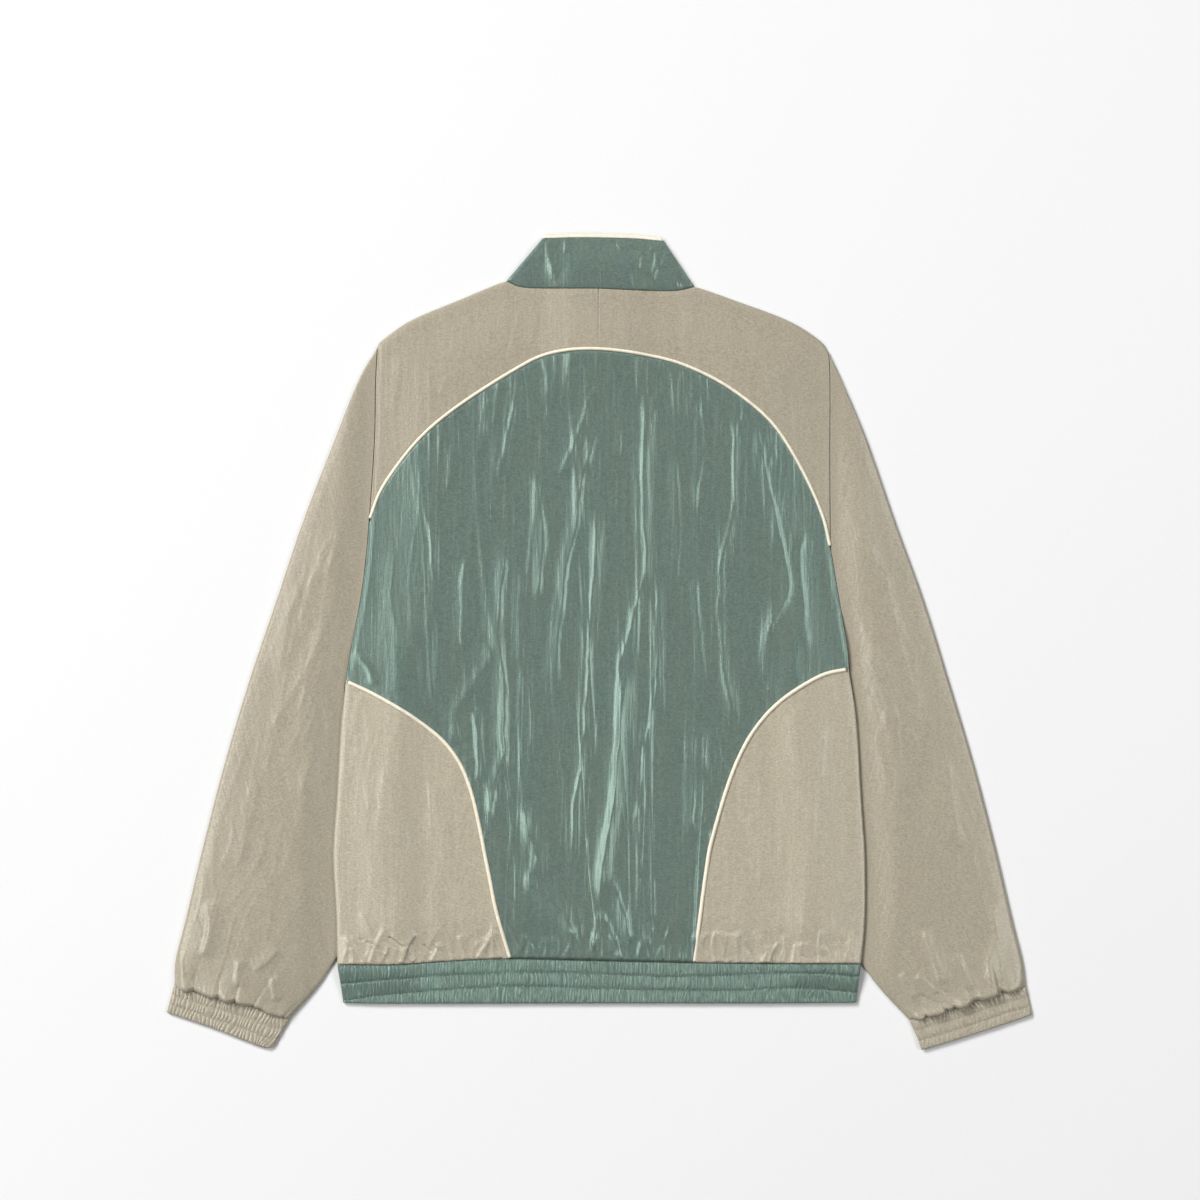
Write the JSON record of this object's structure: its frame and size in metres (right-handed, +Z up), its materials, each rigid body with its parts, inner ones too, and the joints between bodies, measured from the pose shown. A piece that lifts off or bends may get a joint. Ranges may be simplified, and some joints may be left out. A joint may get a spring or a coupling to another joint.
{
  "type": "track jacket",
  "caption": "Long-sleeved zip-front track jacket with stand collar, curved contrast panels, piping and elastic hem and cuffs, laid flat on its front with the back up.",
  "frame": {"origin": "middle of the footprint, on the surface the jacket lies on", "axes": "+Z up out of the jacket's back, +Y towards the collar, +X to the right of the back view"},
  "size_m": [0.8234, 0.7761, 0.0149],
  "materials": {
    "green_nylon": "thin crinkled grey-green nylon with a pale sheen along its folds",
    "beige_nylon": "thin soft beige nylon with a low sheen",
    "cream_piping": "smooth matt cream piping and tape",
    "zip_metal": "plain satin metal"
  },
  "bodies": {
    "jacket": {"back_centre": "green_nylon", "back_yoke_left": "beige_nylon", "back_yoke_right": "beige_nylon", "back_side_left": "beige_nylon", "back_side_right": "beige_nylon", "front_left": "beige_nylon", "front_right": "beige_nylon", "sleeve_left": "beige_nylon", "sleeve_right": "beige_nylon", "cuff_left": "beige_nylon", "cuff_right": "beige_nylon", "hem_band": "green_nylon", "collar": "green_nylon", "collar_piping": "cream_piping", "arch_piping": "cream_piping", "side_piping_left": "cream_piping", "side_piping_right": "cream_piping", "zip_tape_left": "cream_piping", "zip_tape_right": "cream_piping", "zip_teeth": "zip_metal", "zip_slider": "zip_metal"},
    "pull_tab": {"pull_tab": "zip_metal"}
  },
  "joints": [
    {"name": "pull_tab_hinge", "type": "hinge", "parent": "jacket", "child": "pull_tab", "pos_m": [0, 0.31305, 0.0012], "axis": [1, 0, 0], "range_deg": [0, 170]}
  ]
}
